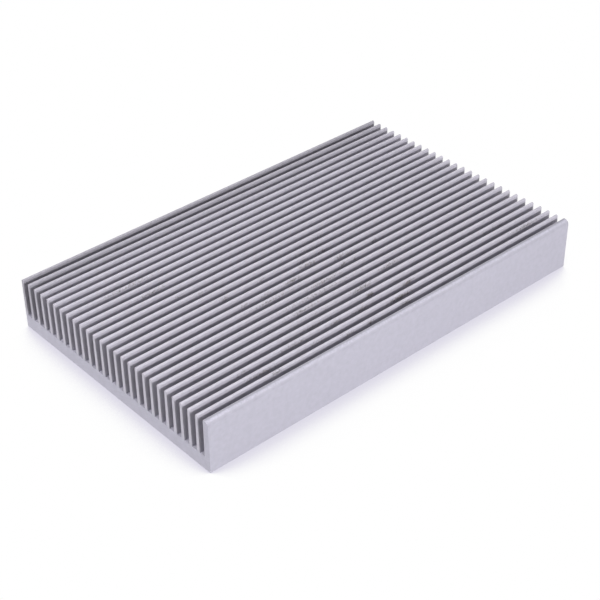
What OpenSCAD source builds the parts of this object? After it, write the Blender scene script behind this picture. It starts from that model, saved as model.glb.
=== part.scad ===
// Finned heat sink: one piece, cut to length from an aluminium extrusion.
// X runs across the fins, Y along the extrusion and Z up from the mounting face.
// The origin is the centre of the mounting face. All sizes are in millimetres.

/* [Extrusion] */
// Length of the cut piece, along the fins
length = 152; // [40:1:400]
// Overall height, from the mounting face to the fin tips
height = 18.2; // [12:0.1:40]
// Thickness of the base plate under the fins
base_thickness = 4.7; // [2:0.1:8]
// Radius that breaks the two lower edges of the base
base_edge_radius = 0.25; // [0.05:0.05:1]

/* [Fins] */
// Number of thin fins, without the side wall
fin_count = 26; // [2:1:60]
// Distance from one fin to the next
fin_pitch = 3.5; // [2.6:0.1:8]
// Thickness of a fin where it leaves the base
fin_root = 1.3; // [0.9:0.05:1.8]
// Thickness of a fin at the height of its tip, before the tip is rounded
fin_tip = 0.95; // [0.5:0.05:1.3]
// Radius of the fillets between the fins and the floor of the channels
root_radius = 0.15; // [0.05:0.05:0.6]

/* [Side wall] */
// Thickness of the side wall where it leaves the base
wall_root = 2.3; // [1.4:0.1:4]
// Thickness of the side wall at its top
wall_top = 2.2; // [1.2:0.1:4]
// Radius along the outer top edge of the side wall
wall_outer_radius = 1.5; // [0.2:0.1:1.8]
// Radius along the inner top edge of the side wall
wall_inner_radius = 0.2; // [0.05:0.05:0.6]

/* [Hidden] */
$fn = 96;

// Each fin and the channel beside it take one pitch, and the side wall closes the row.
width = fin_count * fin_pitch + wall_root;
left_edge = -width / 2;
right_edge = width / 2;
first_fin_x = left_edge + fin_root / 2;
fin_height = height - base_thickness;

// Draft angles of the fin faces and of the wall's inner face.
fin_draft = atan((fin_root - fin_tip) / 2 / fin_height);
wall_draft = atan((wall_root - wall_top) / fin_height);

// The fin's tip is one round that both of its drafted faces run into.
tip_radius = fin_tip / 2 * cos(fin_draft) / (1 - sin(fin_draft));

aluminium = [0.74, 0.74, 0.77];

// Fillet in the corner at [0, 0], between the floor to its right and a face that leans back by draft.
// It reaches seat into the metal on both sides of the corner.
module root_fillet(radius, draft, seat) {
    reach = radius * (1 - sin(draft)) / cos(draft);
    top_x = reach - radius * cos(draft);
    top_z = radius * (1 - sin(draft));
    difference() {
        polygon([[-seat, -seat], [reach, -seat], [reach, 0], [top_x, top_z], [-seat, top_z]]);
        translate([reach, radius]) circle(r = radius);
    }
}

// What is taken off to round an outer corner at [0, 0], between the top to its left and a face below it
// that leans out by draft towards its foot. The round runs into both of them.
module corner_cut(radius, draft = 0) {
    reach = radius * (1 - sin(draft)) / cos(draft);
    face_x = radius * cos(draft) - reach;
    face_z = radius * sin(draft) - radius;
    difference() {
        polygon([[-reach, -radius], [-reach, radius], [2 * radius, radius], [2 * radius, face_z], [face_x, face_z]]);
        translate([-reach, -radius]) circle(r = radius);
    }
}

// Section of the base plate, with its lower edges broken.
module base_section() {
    difference() {
        translate([left_edge, 0]) square([width, base_thickness]);
        translate([right_edge, 0]) mirror([0, 1]) corner_cut(base_edge_radius);
        translate([left_edge, 0]) mirror([1, 0]) mirror([0, 1]) corner_cut(base_edge_radius);
    }
}

// Section of one thin fin that stands on the base at x = 0.
module fin_section() {
    tip_z = height - tip_radius;
    shoulder_x = tip_radius * cos(fin_draft);
    shoulder_z = tip_z + tip_radius * sin(fin_draft);
    seat_z = base_thickness / 2;
    polygon([
        [-fin_root / 2, seat_z], [fin_root / 2, seat_z], [fin_root / 2, base_thickness],
        [shoulder_x, shoulder_z], [-shoulder_x, shoulder_z], [-fin_root / 2, base_thickness]
    ]);
    translate([0, tip_z]) circle(r = tip_radius);
}

// Section of the thick side wall, with its inner foot at x = 0.
module wall_section() {
    seat_z = base_thickness / 2;
    difference() {
        polygon([
            [0, seat_z], [wall_root, seat_z], [wall_root, height],
            [wall_root - wall_top, height], [0, base_thickness]
        ]);
        translate([wall_root, height]) corner_cut(wall_outer_radius);
        translate([wall_root - wall_top, height]) mirror([1, 0]) corner_cut(wall_inner_radius, wall_draft);
    }
}

// The whole extrusion section: base, row of fins, side wall and the fillets in the channels.
module extrusion_section() {
    wall_foot_x = right_edge - wall_root;
    base_section();
    for (i = [0 : fin_count - 1]) translate([first_fin_x + i * fin_pitch, 0]) {
        fin_section();
        translate([fin_root / 2, base_thickness]) root_fillet(root_radius, fin_draft, fin_tip / 4);
        if (i > 0)
            translate([-fin_root / 2, base_thickness])
                mirror([1, 0]) root_fillet(root_radius, fin_draft, fin_tip / 4);
    }
    translate([wall_foot_x, 0]) wall_section();
    translate([wall_foot_x, base_thickness])
        mirror([1, 0]) root_fillet(root_radius, wall_draft, fin_tip / 4);
}

module heat_sink() {
    color(aluminium)
        rotate([90, 0, 0]) linear_extrude(height = length, center = true) extrusion_section();
}

heat_sink();
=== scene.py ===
"""A finned aluminium heat sink on a white table: its finish, the studio light and the camera.

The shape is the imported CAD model, which stays as it is. X runs across the fins, Y along them and Z up.
"""

import math

import bpy
from mathutils import Matrix, Vector


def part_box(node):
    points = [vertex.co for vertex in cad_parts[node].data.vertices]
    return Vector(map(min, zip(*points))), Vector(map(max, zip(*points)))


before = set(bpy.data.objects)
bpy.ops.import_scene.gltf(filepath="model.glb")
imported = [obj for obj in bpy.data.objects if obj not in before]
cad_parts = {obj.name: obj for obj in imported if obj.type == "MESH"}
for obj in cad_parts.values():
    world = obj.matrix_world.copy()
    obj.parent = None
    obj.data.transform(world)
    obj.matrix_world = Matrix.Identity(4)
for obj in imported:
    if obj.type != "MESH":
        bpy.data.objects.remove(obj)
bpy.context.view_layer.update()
heat_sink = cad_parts["heat_sink"]

# Sizes of the extrusion that the finish follows, in metres.
MM = 0.001
PER_MM = 1000.0
LOW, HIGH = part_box("heat_sink")
TIP_HEIGHT = HIGH[2]
FIN_PITCH = 3.5 * MM
FIRST_FIN_X = LOW[0] + 0.65 * MM

# Colours, as linear values.
WALL_METAL = (0.475, 0.463, 0.535, 1.0)
FIN_METAL = (0.506, 0.489, 0.548, 1.0)
DIRT = (0.125, 0.11, 0.1, 1.0)
WHITE = (1.0, 1.0, 1.0, 1.0)
PAPER = (0.6, 0.6, 0.6, 1.0)
TABLE_SHADE = (0.71, 0.69, 0.79, 1.0)
ROOM_LIGHT = (0.04, 0.04, 0.04, 1.0)

# Centre of the saw blade that cut the ends, as seen along the extrusion, in metres.
BLADE_CENTRE = (0.07, 0.0, -0.16)

# How far off the heat sink can still shade the table, in metres.
SHADOW_REACH = 60 * MM


class Value:
    """A number in a material's node tree. Python's operators on it add Math nodes."""

    def __init__(self, surface, socket):
        self.surface = surface
        self.socket = socket

    def __add__(self, other):
        return self.surface.maths("ADD", self, other)

    def __radd__(self, other):
        return self.surface.maths("ADD", other, self)

    def __sub__(self, other):
        return self.surface.maths("SUBTRACT", self, other)

    def __rsub__(self, other):
        return self.surface.maths("SUBTRACT", other, self)

    def __mul__(self, other):
        return self.surface.maths("MULTIPLY", self, other)

    def __rmul__(self, other):
        return self.surface.maths("MULTIPLY", other, self)

    def __abs__(self):
        return self.surface.maths("ABSOLUTE", self)

    def larger(self, other):
        return self.surface.maths("MAXIMUM", self, other)

    def between(self, low, high):
        """A smooth step: 0 below low, 1 above high. With low above high it falls instead."""
        made = self.surface.node(
            "MapRange",
            {"interpolation_type": "SMOOTHSTEP"},
            {"Value": self, "From Min": low, "From Max": high},
        )
        return Value(self.surface, made.outputs["Result"])

    def band(self, start, full, fade, end):
        """A smooth band: 0 up to start, 1 from full to fade and 0 again from end on."""
        return self.between(start, full) * self.between(end, fade)


class Surface:
    """A node-based material, or the world when it is given the world's tree."""

    def __init__(self, tree):
        self.tree = tree
        self.tree.nodes.clear()

    def node(self, kind, settings=None, inputs=None):
        """Adds one node: its settings first, then the values or links of its sockets."""
        made = self.tree.nodes.new("ShaderNode" + kind)
        for name, value in (settings or {}).items():
            setattr(made, name, value)
        for name, value in (inputs or {}).items():
            self.feed(made.inputs[name], value)
        return made

    def feed(self, socket, value):
        if isinstance(value, Value):
            value = value.socket
        if isinstance(value, bpy.types.NodeSocket):
            self.tree.links.new(value, socket)
        else:
            socket.default_value = value

    def maths(self, operation, *values):
        made = self.node("Math", {"operation": operation}, dict(enumerate(values)))
        return Value(self, made.outputs[0])

    def vector(self, operation, *values):
        made = self.node("VectorMath", {"operation": operation}, dict(enumerate(values)))
        return made.outputs["Vector"]

    def length(self, vector):
        made = self.node("VectorMath", {"operation": "LENGTH"}, {0: vector})
        return Value(self, made.outputs["Value"])

    def scale(self, colour, factor):
        made = self.node("VectorMath", {"operation": "SCALE"}, {0: colour, "Scale": factor})
        return made.outputs["Vector"]

    def noise(self, place, size, detail=2.0):
        """Noise from 0 to 1 about 0.5, whose patches are about size metres across."""
        made = self.node("TexNoise", {}, {"Vector": place, "Scale": 1 / size, "Detail": detail})
        return Value(self, made.outputs["Fac"])

    def blend(self, share, first, second):
        """Mixes two colours: first where share is 0, second where it is 1."""
        made = self.node("Mix", {"data_type": "RGBA"}, {0: share, 6: first, 7: second})
        return made.outputs[2]


def new_surface(name):
    material = bpy.data.materials.new(name)
    material.use_nodes = True
    return material, Surface(material.node_tree)


# Smears and specks of dirt on the fins: fin number from the thin side, place along the fin, depth below
# the tip and reach along the fin each way, in millimetres, and how dark it is.
STAINS = (
    (7, -55, 0.5, 20, 0.5),
    (9, -49, 0.8, 9, 0.7),
    (11, -45, 0.9, 3, 0.5),
    (12, -38, 0.8, 4, 0.5),
    (12, 7, 1.6, 14, 0.5),
    (13, 2, 1.7, 14, 0.5),
    (13, 24, 0.9, 3, 0.5),
    (14, -35, 0.9, 3, 0.7),
    (14, -20, 0.8, 3, 0.6),
    (14, -3, 1.6, 4, 0.7),
    (14, 6, 1.6, 7, 0.6),
    (15, -4, 0.8, 7, 0.7),
    (16, -33, 0.9, 4, 0.5),
    (16, -24, 0.9, 5, 0.5),
    (16, -13, 0.6, 7, 0.7),
    (16, 7, 0.8, 4, 0.7),
    (16, 11, 1.3, 5, 0.7),
    (16, 22, 1.4, 4, 0.7),
    (17, -24, 0.6, 18, 0.5),
    (17, 5, 1.0, 3, 0.75),
    (17, 10, 1.4, 2, 0.7),
    (18, -7, 0.5, 13, 0.6),
    (19, -12, 0.6, 32, 0.5),
    (20, -22, 0.5, 11, 0.6),
    (20, 15, 0.7, 9, 0.7),
    (21, -19, 0.6, 12, 0.4),
    (21, 0, 0.5, 9, 0.7),
    (22, -22, 1.6, 13, 0.5),
    (22, 0, 1.2, 3, 1.0),
    (22, 57, 1.6, 14, 0.5),
    (23, -54, 1.0, 5, 0.5),
    (23, -35, 1.1, 11, 0.6),
    (23, -18, 1.1, 4, 0.8),
    (23, -7, 1.4, 7, 0.7),
    (23, 13, 1.0, 4, 1.0),
    (24, -51, 1.2, 10, 0.7),
    (24, -28, 1.3, 8, 0.5),
    (24, 6, 1.4, 8, 1.0),
    (24, 64, 0.7, 13, 0.7),
    (25, -47, 0.5, 4, 0.7),
    (25, -19, 1.1, 5, 0.6),
    (25, -10, 1.2, 3, 0.8),
    (25, 5, 1.2, 5, 0.8),
)

# Each stain sits on the fin's face towards the side wall: how far off the middle of the fin its centre
# lies, and how far it reaches across and up and down, in metres.
STAIN_OFFSET = 0.4 * MM
STAIN_ACROSS = 1.6 * MM
STAIN_DOWN = 1.3 * MM


def dirt_on_fins(metal, place):
    """How dirty each place is, from 0 to 1: the darkest of the stains there, broken up by noise."""
    dirt = None
    for fin, along, depth, reach, darkness in STAINS:
        face_x = FIRST_FIN_X + fin * FIN_PITCH + STAIN_OFFSET
        centre = Vector((face_x, along * MM, TIP_HEIGHT - depth * MM))
        shrink = Vector((1 / STAIN_ACROSS, 1 / (reach * MM), 1 / STAIN_DOWN))
        from_centre = metal.length(metal.vector("MULTIPLY_ADD", place, shrink, -centre * shrink))
        stain = metal.maths("MULTIPLY_ADD", from_centre, -darkness, darkness)
        dirt = stain if dirt is None else dirt.larger(stain)
    broken = metal.noise(place, 0.6 * MM, 4.0) - 0.5
    return (dirt + 1.6 * broken).between(0.18, 0.98)


def saw_arcs(metal, place):
    """Marks of the saw: arcs about the centre of the blade, about 0."""
    from_blade = metal.vector("SUBTRACT", place, BLADE_CENTRE)
    from_blade = metal.vector("MULTIPLY", from_blade, (1.0, 0.0, 1.0))
    arcs = metal.node(
        "TexNoise",
        {"noise_dimensions": "1D"},
        {"W": metal.length(from_blade), "Scale": 1 / (0.35 * MM), "Detail": 3.0},
    )
    return Value(metal, arcs.outputs["Fac"]) - 0.5


def bare_aluminium():
    """Mill-finish aluminium: satin, with lines along the extrusion, sawn ends, dirt on the fins, and
    painted shade and highlight.
    """
    material, metal = new_surface("bare_aluminium")
    coordinates = metal.node("TexCoord")
    place = coordinates.outputs["Object"]
    facing = metal.node("SeparateXYZ", {}, {0: coordinates.outputs["Normal"]})
    upright = abs(Value(metal, facing.outputs["X"])).between(0.6, 0.9)
    sawn = abs(Value(metal, facing.outputs["Y"])).between(0.6, 0.8)
    rolled = 1 - sawn

    # Where a place lies, in millimetres: in from either side, up from the foot and down from the tips.
    spot = metal.node("SeparateXYZ", {}, {0: place})
    across = Value(metal, spot.outputs["X"])
    up = Value(metal, spot.outputs["Z"])
    from_wall = PER_MM * (HIGH[0] - across)
    from_thin_side = PER_MM * (across - LOW[0])
    above_foot = PER_MM * up
    below_tips = PER_MM * (TIP_HEIGHT - up)

    # Patches in the surface, a few millimetres to a few centimetres across, and a finer mottling.
    patches = metal.noise(place, 14 * MM) + 0.5 * metal.noise(place, 3 * MM, 4.0) - 0.75
    mottle = metal.noise(place, 1.6 * MM, 4.0) - 0.5

    # Lines that the die leaves along the extrusion: noise drawn out along Y.
    drawn_out = metal.vector("MULTIPLY", place, (1.0, 0.015, 1.0))
    wide_lines = metal.noise(drawn_out, 0.9 * MM, 3.0) - 0.5
    fine_lines = metal.noise(drawn_out, 0.2 * MM, 2.0) - 0.5

    # The side wall's top edge, from its face inwards: painted shade on a shoulder, a painted highlight line
    # broken up by specks and a strip of painted shade.
    edge = rolled * from_wall.between(1.6, 1.4)
    painted_shoulder_shade = edge * below_tips.band(0.15, 0.6, 0.9, 1.5)
    specks = metal.noise(place, 0.6 * MM, 2.0) - 0.5
    # Painted highlight: a bright line along the top of the round, broken up by specks.
    painted_edge_highlight = edge * below_tips.between(0.525, 0.225) * (0.06 + 0.5 * specks)
    # Painted shade on the flat top of the wall, next to its inner edge.
    painted_edge_shade = rolled * from_wall.band(1.0, 1.65, 1.8, 2.3) * below_tips.between(0.6, 0.2)

    # Painted shade on the fin faces deep inside the channels.
    inside = from_thin_side.between(0.5, 0.7) * from_wall.between(1.0, 1.2)
    painted_channel_shade = inside * upright * below_tips.between(1.2, 2.2)

    # The fins are a little lighter than the wall and the base; painted shade darkens them towards the thin
    # side.
    finned = from_wall.between(1.6, 2.6) * above_foot.between(4.5, 6.0)
    painted_thin_side_shade = from_thin_side.between(16.0, -4.0) * above_foot.between(4.5, 8.0)

    saw_marks = saw_arcs(metal, place)
    dirt = dirt_on_fins(metal, place)
    # The tone takes the painted shade and painted highlight above, besides the patches, mottling, lines and
    # saw marks.
    tone = 1 + 0.04 * patches + 0.2 * mottle - 0.28 * painted_thin_side_shade - 0.1 * painted_channel_shade
    tone = tone - 0.13 * painted_shoulder_shade + painted_edge_highlight - 0.31 * painted_edge_shade
    tone = tone + rolled * (0.05 * wide_lines + 0.06 * fine_lines) + sawn * (0.14 * saw_marks)
    clean = metal.scale(metal.blend(finned, WALL_METAL, FIN_METAL), tone)
    colour = metal.blend(0.78 * dirt, clean, DIRT)
    roughness = 0.8 + 0.12 * patches + rolled * 0.1 * wide_lines + 0.06 * sawn + 0.1 * dirt
    relief = rolled * (0.15 * wide_lines + 0.05 * fine_lines) + sawn * saw_marks + 0.05 * patches
    bump = metal.node("Bump", {}, {"Strength": 0.25, "Distance": 0.04 * MM, "Height": relief})
    shader = metal.node(
        "BsdfPrincipled",
        {},
        {"Base Color": colour, "Metallic": 0.5, "Roughness": roughness, "Normal": bump.outputs["Normal"]},
    )
    metal.node("OutputMaterial", {}, {"Surface": shader.outputs["BSDF"]})
    return material


heat_sink.material_slots[0].material = bare_aluminium()


def seen_directly(surface):
    """1 for what the camera sees, also in metal or glass, and 0 for the light that lands on things."""
    path = surface.node("LightPath")
    camera_ray = Value(surface, path.outputs["Is Camera Ray"])
    glossy_ray = Value(surface, path.outputs["Is Glossy Ray"])
    glass_ray = Value(surface, path.outputs["Is Transmission Ray"])
    return camera_ray.larger(glossy_ray).larger(glass_ray)


def white_table():
    """A white table with a soft shade around the heat sink, which only the camera sees."""
    material, table = new_surface("white_table")
    paper = table.node("BsdfDiffuse", {}, {"Color": PAPER})
    open_sky = table.node("AmbientOcclusion", {"samples": 16}, {"Distance": SHADOW_REACH})
    openness = Value(table, open_sky.outputs["AO"]).between(0.5, 0.73)
    path = table.node("LightPath")
    reflected = 1 - Value(table, path.outputs["Is Camera Ray"])
    shade = table.blend(openness.larger(reflected), TABLE_SHADE, WHITE)
    white = table.node("Emission", {}, {"Color": shade})
    both = table.node("MixShader", {}, {0: seen_directly(table), 1: paper.outputs[0], 2: white.outputs[0]})
    table.node("OutputMaterial", {}, {"Surface": both.outputs[0]})
    return material


# The table's side and its gap under the heat sink, which keeps their faces out of one plane, in metres.
TABLE_SIDE = 8.0
TABLE_GAP = 0.02 * MM

bpy.ops.object.select_all(action="DESELECT")
bpy.ops.mesh.primitive_plane_add(size=TABLE_SIDE, location=(0.0, 0.0, LOW[2] - TABLE_GAP))
table_top = bpy.context.object
table_top.name = "table_top"
table_top.data.materials.append(white_table())


def soft_box(name, azimuth, elevation, distance, wide, tall, watts):
    """A soft box that faces the heat sink. Angles are in degrees, with azimuth 0 at +X, sizes in metres."""
    across = math.radians(azimuth)
    up = math.radians(elevation)
    towards = Vector((math.cos(across) * math.cos(up), math.sin(across) * math.cos(up), math.sin(up)))
    turned = towards.to_track_quat("Z", "Y").to_euler()
    bpy.ops.object.light_add(type="AREA", location=distance * towards, rotation=turned)
    lamp = bpy.context.object
    lamp.name = name
    lamp.data.shape = "RECTANGLE"
    lamp.data.size = wide
    lamp.data.size_y = tall
    lamp.data.energy = watts


# A low strip on the side wall's side, a large box on the thin side and one above the near end.
soft_box("key_light", azimuth=0.0, elevation=24.0, distance=0.65, wide=0.45, tall=0.05, watts=3.7)
soft_box("left_light", azimuth=180.0, elevation=23.0, distance=0.8, wide=0.5, tall=0.25, watts=4.5)
soft_box("front_light", azimuth=262.0, elevation=47.0, distance=0.72, wide=0.4, tall=0.3, watts=4.0)

# The room is white to the camera and in the metal, and adds only a little light of its own.
studio = bpy.data.worlds.new("studio")
studio.use_nodes = True
room = Surface(studio.node_tree)
walls = room.blend(seen_directly(room), ROOM_LIGHT, WHITE)
glow = room.node("Background", {}, {"Color": walls, "Strength": 1.0})
room.node("OutputWorld", {}, {"Surface": glow.outputs[0]})
bpy.context.scene.world = studio

# Camera at the photograph's viewing angle: its bearing, height and roll in degrees about the point that it
# looks at, its distance and that point in metres, and its lens in millimetres.
CAMERA_BEARING = 48.811
CAMERA_HEIGHT = 35.812
CAMERA_ROLL = -0.682
CAMERA_DISTANCE = 0.452789
CAMERA_TARGET = Vector((0.010818, -0.010652, 0.009))
CAMERA_LENS = 85.986

bearing = math.radians(CAMERA_BEARING)
height = math.radians(CAMERA_HEIGHT)
roll = math.radians(CAMERA_ROLL)
level = math.cos(height)
back = Vector((math.sin(bearing) * level, -math.cos(bearing) * level, math.sin(height)))
level_x = Vector((0.0, 0.0, 1.0)).cross(back).normalized()
level_y = back.cross(level_x)
right = math.cos(roll) * level_x + math.sin(roll) * level_y
up = math.cos(roll) * level_y - math.sin(roll) * level_x
stand = Matrix((right, up, back)).transposed().to_4x4()
stand.translation = CAMERA_TARGET + CAMERA_DISTANCE * back
bpy.ops.object.camera_add()
camera = bpy.context.object
camera.matrix_world = stand
camera.data.lens = CAMERA_LENS
camera.data.sensor_width = 36.0
camera.data.clip_start = 0.01
bpy.context.scene.camera = camera
bpy.context.scene.view_settings.view_transform = "Standard"
